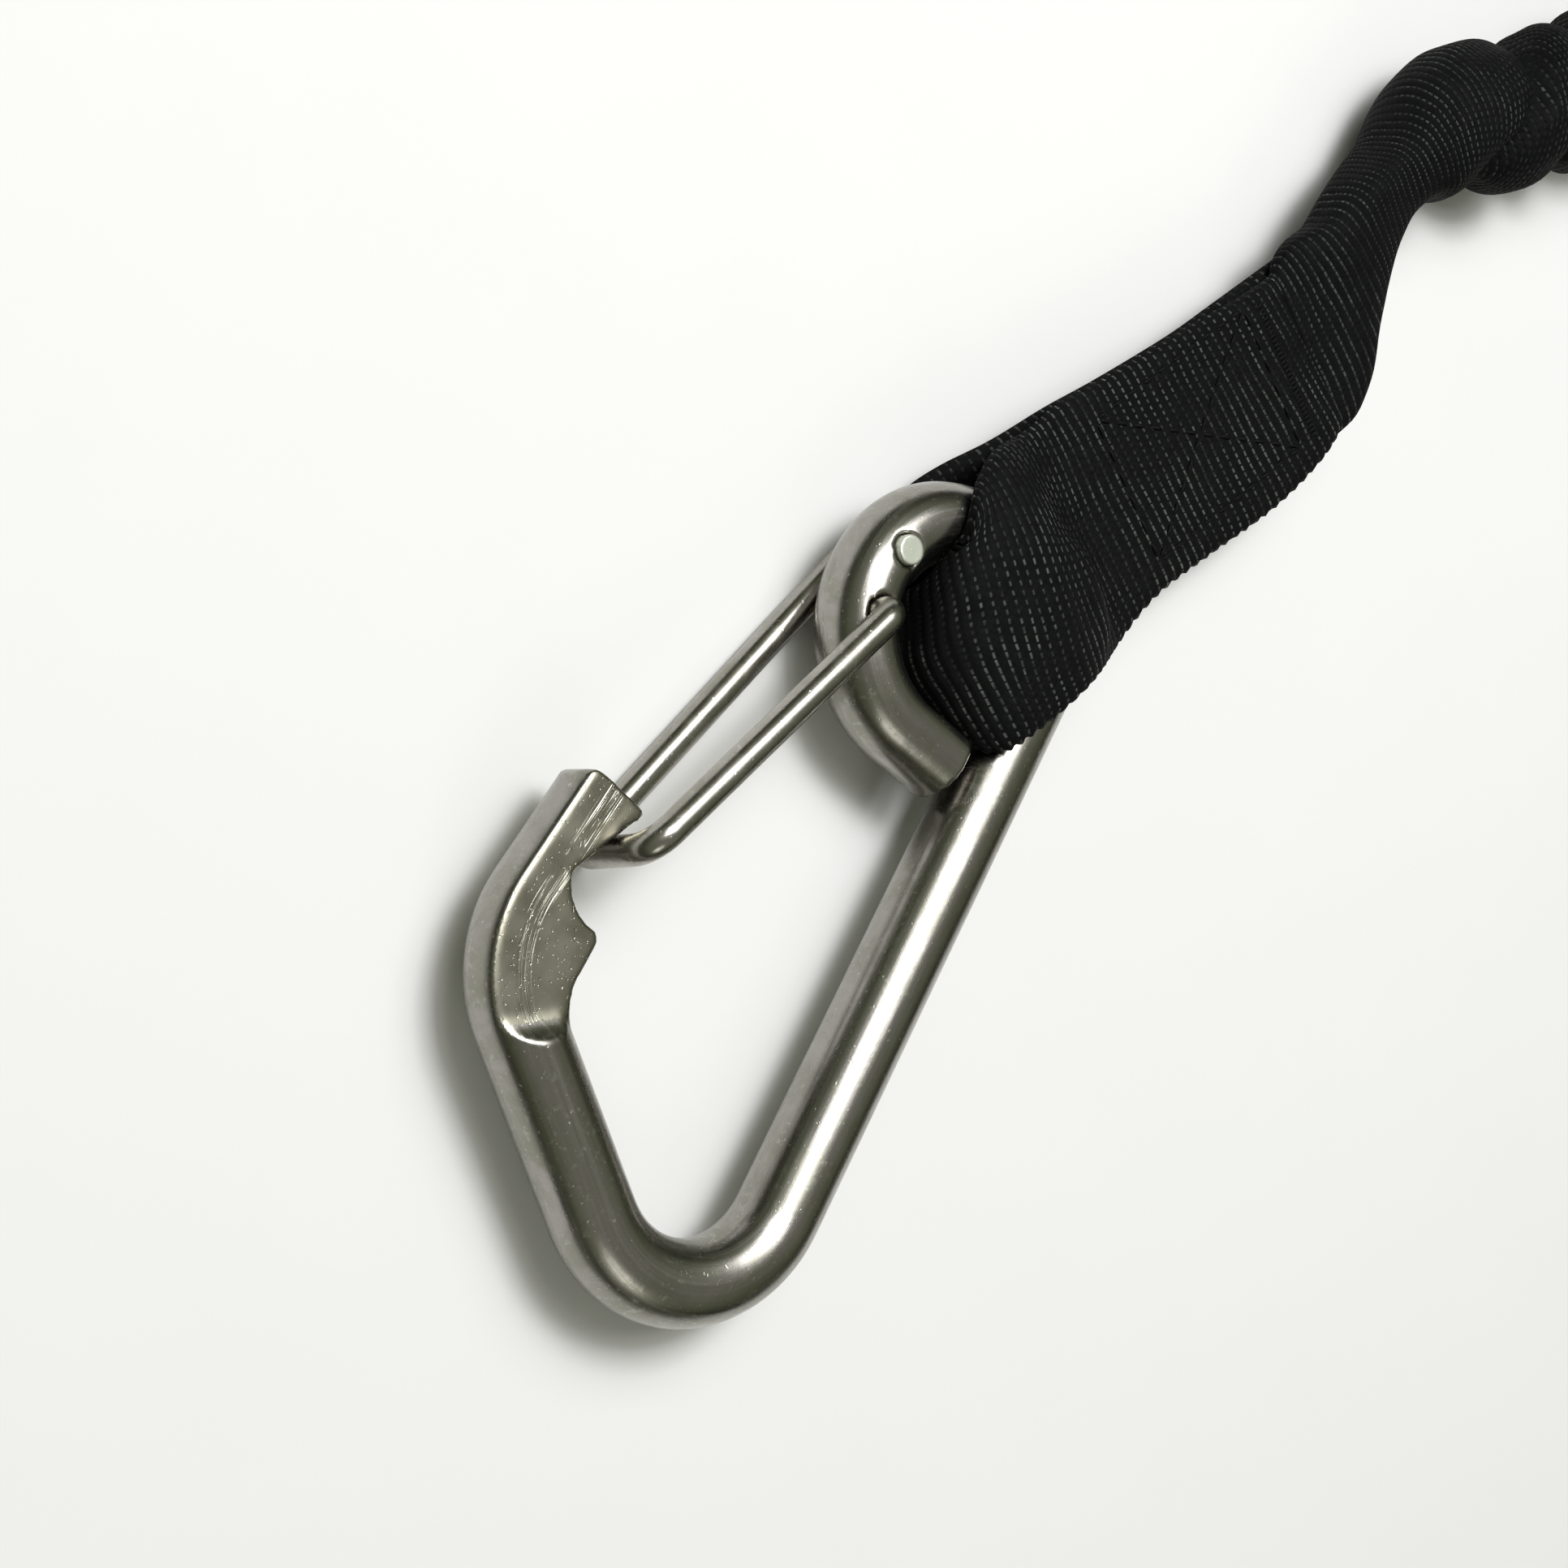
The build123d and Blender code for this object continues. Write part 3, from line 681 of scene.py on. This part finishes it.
def nearest_on_line(line, points):
    """For each point, its place along the line, its signed distance to the left, and the nearest point."""
    start, step = line[:-1], np.diff(line, axis=0)
    length2 = (step ** 2).sum(1)
    along_line = lengths_along(line)
    along, across, near = np.empty(len(points)), np.empty(len(points)), np.empty((len(points), 2))
    for first in range(0, len(points), NEAREST_BATCH):
        some = points[first:first + NEAREST_BATCH]
        t = np.clip(((some[:, None] - start) * step).sum(2) / length2, 0, 1)
        foot = start + t[..., None] * step
        gap = some[:, None] - foot
        best = (gap ** 2).sum(2).argmin(1)
        rows = np.arange(len(some))
        chosen = gap[rows, best]
        way = step[best] / np.sqrt(length2[best])[:, None]
        span = slice(first, first + len(some))
        along[span] = along_line[best] + t[rows, best] * np.sqrt(length2[best])
        across[span] = way[:, 0] * chosen[:, 1] - way[:, 1] * chosen[:, 0]
        near[span] = foot[rows, best]
    return along, across, near


def softened(node_name, name, edges):
    """A copy of a CAD piece with its edges broken, as moulding or tumbling leaves them."""
    obj = bpy.data.objects.new(name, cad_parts[node_name].data.copy())
    bpy.context.scene.collection.objects.link(obj)
    remesh = obj.modifiers.new("remesh", "REMESH")
    remesh.mode = "VOXEL"
    remesh.voxel_size, rounds = edges
    remesh.use_smooth_shade = True
    smooth = obj.modifiers.new("smooth", "SMOOTH")
    smooth.factor = 0.5
    smooth.iterations = rounds
    seen = bpy.context.evaluated_depsgraph_get()
    mesh = bpy.data.meshes.new_from_object(obj.evaluated_get(seen))
    obj.modifiers.clear()
    obj.data = mesh
    mesh.materials.clear()
    return obj


def carabiner():
    """The CAD body with its milled edges broken and rounded, and its rod made truly round again."""
    obj = softened("carabiner_body", "carabiner_polished", BODY_EDGES)
    mesh = obj.data
    count = len(mesh.vertices)
    flat = np.empty(count * 3)
    mesh.vertices.foreach_get("co", flat)
    place = drawing(flat.reshape(-1, 3))
    along, across, near = nearest_on_line(rod_line(), place[:, :2])
    arm = np.concatenate([place[:, :2] - near, place[:, 2:]], axis=1)
    radius = np.linalg.norm(arm, axis=1)
    mesh.vertices.foreach_get("normal", flat)
    faces_out = (flat.reshape(-1, 3) * arm).sum(1) / radius
    on_rod = 1 - smoothstep(0.5 * ON_ROD_MM, ON_ROD_MM, np.abs(radius - ROD_R))
    on_rod *= smoothstep(*ON_ROD_FACING, faces_out)
    arm *= (1 + on_rod * (ROD_R / radius - 1))[:, None]
    radius = np.maximum(np.linalg.norm(arm, axis=1), ROD_R)
    arm *= (1 + (1 - smoothstep(*TOOTH_FADE_MM, place[:, 1])) * (ROD_R / radius - 1))[:, None]
    place = np.concatenate([near, np.zeros((count, 1))], axis=1) + arm
    mesh.vertices.foreach_set("co", metres(place).ravel())
    rod = mesh.attributes.new("rod", "FLOAT_VECTOR", "POINT")
    spin = np.arctan2(place[:, 2], across) * ROD_R
    values = np.stack([along, spin, across], axis=1) / 1000
    rod.data.foreach_set("vector", values.astype(np.float32).ravel())
    mesh.materials.append(STEEL)
    mesh.materials.append(MILLED)
    level = np.abs([p.normal.z for p in mesh.polygons])
    middles = drawing([p.center for p in mesh.polygons])
    low = np.abs(middles[:, 2]) < NOSE_T / 2 + FLAT_SLACK_MM
    flats = (level > FLAT_LEVEL) & low & (middles[:, 1] > FLAT_FROM_MM)
    mesh.polygons.foreach_set("material_index", flats.astype(int))
    mesh.polygons.foreach_set("use_smooth", [True] * len(mesh.polygons))
    mesh.update()
    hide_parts("carabiner_body")
    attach(obj, "carabiner")


carabiner()


# ---------------------------------------------------------------- webbing loop and sewn strap

# Rows of the folded strap's middle surface, in drawing millimetres, from one edge to the other.
# A row of two points is straight. The rows run from the neck over the eye, round the bight and back.
STRAP_ROWS = [
    [(125.0, -6.0, 0.7), (118.4, -26.4, 0.7)],
    [(117.0, -1.4, 2.1), (109.8, -25.3, 2.1)],
    [(107.5, 4.2, 1.8), (98.5, -21.6, 1.8)],
    [(95.5, 10.9, 1.6), (85.5, -14.8, 1.6)],
    [(87.0, 16.0, 1.7), (76.2, -9.9, 1.9)],
    [(80.6, 18.6, 1.5), (76.9, 10.6, 1.3), (73.4, 4.2, 1.3), (70.1, -1.4, 1.8), (67.2, -7.2, 2.6)],
    [(74.6, 22.6, 3.4), (69.9, 15.6, 6.6), (65.0, 8.4, 7.5), (61.2, 2.2, 7.3), (59.0, -3.4, 6.2)],
    [(69.4, 23.6, 4.6), (64.4, 18.2, 7.2), (59.3, 11.4, 7.7), (54.8, 5.2, 7.6), (52.3, -0.4, 7.0)],
    [(64.8, 23.2, 4.4), (60.0, 19.8, 6.6), (54.9, 14.4, 7.0), (51.0, 8.4, 7.0), (48.0, 1.6, 6.8)],
    [(60.6, 22.2, 3.4), (56.2, 20.4, 5.2), (51.4, 16.4, 5.4), (48.2, 10.8, 5.6), (44.9, 2.9, 5.8)],
    [(56.6, 21.4, 0.6), (52.4, 19.6, 2.2), (48.5, 17.0, 2.2), (46.0, 11.8, 2.8), (43.2, 4.2, 3.6)],
    [(55.6, 21.2, -2.8), (51.6, 19.0, -1.8), (47.8, 16.6, -1.4), (45.6, 11.8, -0.6), (43.4, 5.0, 0.4)],
    [(57.6, 22.6, -5.4), (53.2, 18.6, -5.2), (49.4, 14.8, -5.0), (47.4, 10.2, -4.4), (45.6, 5.2, -3.0)],
    [(62.4, 24.4, -6.9), (58.0, 18.6, -6.8), (54.4, 13.0, -6.8), (52.4, 8.0, -6.8), (50.8, 2.6, -6.8)],
    [(67.4, 25.2, -6.6), (64.2, 18.2, -6.8), (61.4, 11.6, -6.8), (59.2, 5.2, -7.0), (57.6, -1.0, -7.0)],
    [(73.0, 23.0, -5.0), (70.4, 16.0, -5.4), (67.8, 9.4, -5.6), (65.4, 3.0, -5.8), (63.4, -3.2, -5.8)],
    [(79.0, 19.4, -3.4), (76.0, 12.6, -3.0), (73.2, 6.0, -3.0), (70.6, -0.2, -3.2), (68.4, -6.2, -3.4)],
    [(87.0, 15.4, -1.8), (76.4, -9.8, -1.8)],
    [(95.0, 10.6, -1.5), (85.0, -14.8, -1.5)],
    [(107.0, 3.8, -1.4), (97.5, -21.0, -1.4)],
    [(116.0, -0.6, -1.3), (108.2, -24.4, -1.3)],
    [(127.6, -6.2, -1.2), (119.4, -27.6, -1.2)],
]
STRAP_GRID = (130, 19)
RELAX_ROUNDS = 12
HOLD_SHAPE = 0.22
RELAX_ALONG = 0.25
RELAX_ACROSS = 0.12
RELAXED_TO_X = (76.0, 84.0)     # the strap is free before the first and sewn after the second
CLEAR_OF_STEEL = 0.25
STEEL_SEARCH = 9.0
STRAP_SPACING = 0.45
EDGE_POWER = 14                 # the higher, the squarer a strap's edge
NUB = 0.20
NUB_PITCH = 2.0
NUB_REACH = 0.8
BACK_SHIFT = 0.4                # sets the back's weave off from the front's


def steel_tree():
    """Everything that the webbing must stay clear of, for nearest-point tests in drawing millimetres."""
    vertices, faces = [], []
    for name in ("carabiner_body", "gate_wire", "gate_rear_pivot"):
        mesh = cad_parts[name].data
        offset = len(vertices)
        vertices += [Vector(p) for p in drawing([v.co for v in mesh.vertices])]
        faces += [[offset + v for v in p.vertices] for p in mesh.polygons]
    return BVHTree.FromPolygons(vertices, faces)


def push_clear(points, tree, clearance):
    """Moves each point that is nearer to the steel than clearance, or inside it, out to that distance."""
    moved = points.copy()
    for index in np.ndindex(points.shape[:2]):
        point = Vector(points[index])
        foot, normal, _, gap = tree.find_nearest(point, STEEL_SEARCH)
        if foot is None:
            continue
        outside = (point - foot).dot(normal) >= 0
        if outside and gap >= clearance:
            continue
        way = (point - foot).normalized() if outside and gap > 1e-4 else normal
        moved[index] = foot + way * clearance
    return moved


def strap_surface():
    """The strap's middle surface as a grid of points, relaxed over the steel."""
    full = []
    for row in STRAP_ROWS:
        row = np.array(row, float)
        if len(row) == 2:
            row = row[0] + (row[1] - row[0]) * np.linspace(0, 1, 5)[:, None]
        full.append(row)
    rows, columns = STRAP_GRID
    grid = spline(np.array(full), rows)
    grid = spline(grid.transpose(1, 0, 2), columns).transpose(1, 0, 2)
    tree = steel_tree()
    free = (1 - smoothstep(*RELAXED_TO_X, grid[..., 0]))[..., None]
    drawn = grid
    for _ in range(RELAX_ROUNDS):
        pulled = grid + HOLD_SHAPE * (drawn - grid)
        pulled[1:-1] += RELAX_ALONG * (grid[2:] + grid[:-2] - 2 * grid[1:-1])
        pulled[:, 1:-1] += RELAX_ACROSS * (grid[:, 2:] + grid[:, :-2] - 2 * grid[:, 1:-1])
        grid = grid + (pulled - grid) * free
        grid = push_clear(grid, tree, PLY_T / 2 + CLEAR_OF_STEEL)
    return grid


def strap_skin(name, grid, width, thickness, put, bumpy_edges):
    """A strap about a middle surface of points in mm, bumpy on the named edges, with its two sides.

    Each side is its points and the way out of it at each.
    """
    run = lengths_along(grid[:, grid.shape[1] // 2])
    rows = int(run[-1] / STRAP_SPACING)
    columns = int(width / STRAP_SPACING)
    grid = spline(grid, rows)
    grid = spline(grid.transpose(1, 0, 2), columns).transpose(1, 0, 2)
    along = lengths_along(grid[:, columns // 2])
    across_way = unit(np.gradient(grid, axis=1))
    normal = unit(np.cross(across_way, np.gradient(grid, axis=0)))
    share = np.linspace(-1, 1, columns)
    profile = thickness / 2 * np.sqrt(np.clip(1 - np.abs(share) ** EDGE_POWER, 0, 1))
    nub = NUB * np.sin(2 * pi * along / NUB_PITCH)[:, None]
    by_edge = sum(edge * np.exp(-((1 - edge * share) * width / 2 / NUB_REACH) ** 2)
                  for edge in bumpy_edges)
    grid = grid + across_way * (nub * by_edge)[..., None]
    front = grid + normal * profile[None, :, None]
    back = grid - normal * profile[None, :, None]
    rings = np.concatenate([front, back[:, -2:0:-1]], axis=1)
    u = (share + 1) / 2 * width
    around_u = np.concatenate([u, u[-2:0:-1] + BACK_SHIFT])
    uv = np.stack(np.meshgrid(around_u, along), axis=2)
    obj = ring_mesh(name, put(rings), WEBBING, uv)
    return obj, (front, normal), (back, -normal)


strap, _, strap_outside = strap_skin("hook_strap", strap_surface(), WEB_W, PLY_T, metres, (1,))
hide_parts("hook_loop_webbing")
metres((79.0, 10.0, 0))
metres((63.0, 10.0, 0))
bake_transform(strap)


# ---------------------------------------------------------------- stitching

STITCH_PITCH = 3.1
STITCH_ENDS = (0.08, 0.92)      # shares of the pitch
STITCH_D = 0.55
STITCH_RISE = (-0.45, 0.02, 0.12, 0.02, -0.45)
STITCH_SWELL = (0.6, 0.95, 1.0, 0.95, 0.6)
STITCH_SIDES = 6
TACK_PITCH = 0.62
TACK_BAR = 2.0
# Along and across the sewn part, mm: boxes are x0, x1, y0, y1 and tacks are x, y0, y1
STRAP_BOX = (4.0, 34.0, -9.6, 10.4)
STRAP_TACK = (37.0, -9.4, 9.8)
TAB_BOX = (6.0, 24.0, -9.5, 9.5)
TAB_TACKS = ((28.6, -8.5, 8.5), (31.0, -8.5, 8.5))


def stitch_line(corners):
    """Ends of the stitches along a line of straight runs."""
    pairs = []
    for start, end in zip(corners, corners[1:]):
        start, end = np.array(start, float), np.array(end, float)
        count = max(1, round(np.linalg.norm(end - start) / STITCH_PITCH))
        for k in range(count):
            pairs.append(tuple(start + (end - start) * (k + share) / count for share in STITCH_ENDS))
    return pairs


def box_and_cross(x0, x1, y0, y1):
    pairs = stitch_line([(x0, y0), (x1, y0), (x1, y1), (x0, y1), (x0, y0)])
    return pairs + stitch_line([(x0, y0), (x1, y1)]) + stitch_line([(x0, y1), (x1, y0)])


def tack(x, y0, y1):
    """A bar tack: thread laid to and fro across a narrow bar."""
    return [(np.array((x - TACK_BAR / 2, y)), np.array((x + TACK_BAR / 2, y + TACK_PITCH / 2)))
            for y in np.arange(y0, y1, TACK_PITCH)]


def face_finder(points, normals):
    """A function that takes a point in plan to its place on the strap's face and the way out of it."""
    def find(point):
        index = np.unravel_index(((points[..., :2] - point) ** 2).sum(2).argmin(), points.shape[:2])
        return np.array((*point, points[index][2])), normals[index]
    return find


def ply_faces(points, normals):
    """Face finders for a folded strap's two plies."""
    plies = np.array_split(np.arange(len(points)), 2)
    return [face_finder(points[rows], normals[rows]) for rows in plies]


def sew(name, pairs, faces, put, node_name):
    """Raised threads between pairs of points in plan, on each of the faces."""
    turns = np.linspace(0, 2 * pi, STITCH_SIDES, endpoint=False)
    shares = np.linspace(0, 1, len(STITCH_RISE))
    vertices, polygons = [], []
    for find in faces:
        for start, end in pairs:
            path = [find(start + (end - start) * share) for share in shares]
            way = unit(path[-1][0] - path[0][0])
            first = len(vertices)
            for rise, swell, (place, normal) in zip(STITCH_RISE, STITCH_SWELL, path):
                side = np.cross(normal, way)
                for turn in turns:
                    arm = STITCH_D / 2 * swell * (cos(turn) * side + sin(turn) * normal)
                    vertices.append(place + normal * rise + arm)
            for ring in range(len(path) - 1):
                for k in range(STITCH_SIDES):
                    a = first + ring * STITCH_SIDES + k
                    b = first + ring * STITCH_SIDES + (k + 1) % STITCH_SIDES
                    polygons.append((a, b, b + STITCH_SIDES, a + STITCH_SIDES))
            last = first + (len(path) - 1) * STITCH_SIDES
            polygons.append(tuple(first + k for k in reversed(range(STITCH_SIDES))))
            polygons.append(tuple(last + k for k in range(STITCH_SIDES)))
    obj = mesh_object(name, put(np.array(vertices)), polygons, THREAD)
    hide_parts(node_name)
    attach(obj, "root")
    return obj


SEWN_START = (80.0, 3.0)
SEWN_ANGLE = -25.0


def on_strap(pairs):
    """Points along and across the sewn strap to points of the drawing."""
    way = radians(SEWN_ANGLE)
    along, left = np.array((cos(way), sin(way))), np.array((-sin(way), cos(way)))
    return [tuple(np.array(SEWN_START) + along * p[0] + left * p[1] for p in pair) for pair in pairs]


strap_faces = ply_faces(*strap_outside)
strap_seam = on_strap(box_and_cross(*STRAP_BOX))
sew("strap_box_stitches", strap_seam, strap_faces, metres, "hook_box_stitching")
sew("strap_bar_tack", on_strap(tack(*STRAP_TACK)), strap_faces, metres, "hook_bar_tack")


# ---------------------------------------------------------------- tail: tab and choke loop

TAB_PLY = 2.4
# The folded tab's middle surface from the sleeve to its fold and back: along it and up, mm
TAB_FOLD = [(0.6, 1.25), (12, 1.25), (24, 1.30), (31, 1.42), (34.0, 1.15), (34.8, 0.0),
            (34.0, -1.15), (31, -1.42), (24, -1.30), (12, -1.25), (0.6, -1.25)]
TAB_GRID = (60, 7)
# The choke loop's centre line, mm: out along one leg, round and back along the other
LOOP_OUT = [(33, 4), (60, 4), (78, 4), (81.5, 4.8), (88.5, 13), (98, 14), (103, 9)]
LOOP_SPACING = 0.0008


def tail_mm(points):
    """Tail-frame millimetres, at the tab's own height, to the frame's metres."""
    points = np.asarray(points, float)
    local = points / 1000 + (0, 0, -TAB_DROP)
    turned = local.reshape(-1, 3) @ np.array(TAIL.to_3x3()).T + np.array(TAIL.translation)
    return turned.reshape(points.shape)


def tail_tab():
    rows, columns = TAB_GRID
    across = np.linspace(TAB_W * 500, -TAB_W * 500, columns)
    grid = np.array([[(x, y, z) for y in across] for x, z in TAB_FOLD])
    return strap_skin("tail_tab", spline(grid, rows), TAB_W * 1000, TAB_PLY, tail_mm, (1, -1))


tab, tab_outside, _ = tail_tab()
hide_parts("tail_tab_webbing")
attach(tab, "root")
tab_faces = ply_faces(*tab_outside)
tab_box = box_and_cross(*TAB_BOX)
tab_seam = sew("tail_box_stitches", tab_box, tab_faces, tail_mm, "tail_box_stitching")
tab_bars = [pair for place in TAB_TACKS for pair in tack(*place)]
tab_tack = sew("tail_tack", tab_bars, tab_faces, tail_mm, "tail_bar_tack")

loop_points = [(x, y, 0) for x, y in LOOP_OUT] + [(x, -y, 0) for x, y in reversed(LOOP_OUT)]
loop_line = nurbs_line("choke_loop", tail_mm(loop_points).tolist(), LOOP_SPACING)
loop = tube("choke_loop_braid", loop_line, LOOP_CORD_D / 2, LOOP_BRAID, 28)
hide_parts("choke_loop_cord")
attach(loop, "root")


# ---------------------------------------------------------------- cord lock and gate

def hard_piece(node_name, name, edges, material, body):
    obj = softened(node_name, name, edges)
    obj.data.materials.append(material)
    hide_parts(node_name)
    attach(obj, body)
    return obj


barrel = hard_piece("cord_lock_barrel", "lock_barrel", LOCK_EDGES, BARREL_PLASTIC,
                    "cord_lock")
plunger = hard_piece("cord_lock_plunger", "lock_plunger", LOCK_EDGES, BUTTON_PLASTIC,
                     "lock_button")
hard_piece("gate_wire", "gate_wire_drawn", WIRE_EDGES, WIRE_STEEL, "gate")
hard_piece("gate_rear_pivot", "rear_rivet", PIN_EDGES, PIN_STEEL, "carabiner")
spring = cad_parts["cord_lock_spring"]
for slot in spring.material_slots:
    slot.material = WIRE_STEEL


# ---------------------------------------------------------------- a point at the tab's end and the choke loop's length, worked out and not used

tail_mm((TAB_LENGTH * 1000, LOOP_GAP * 500, 0)).tolist()
lengths_along(loop_line)[-1]
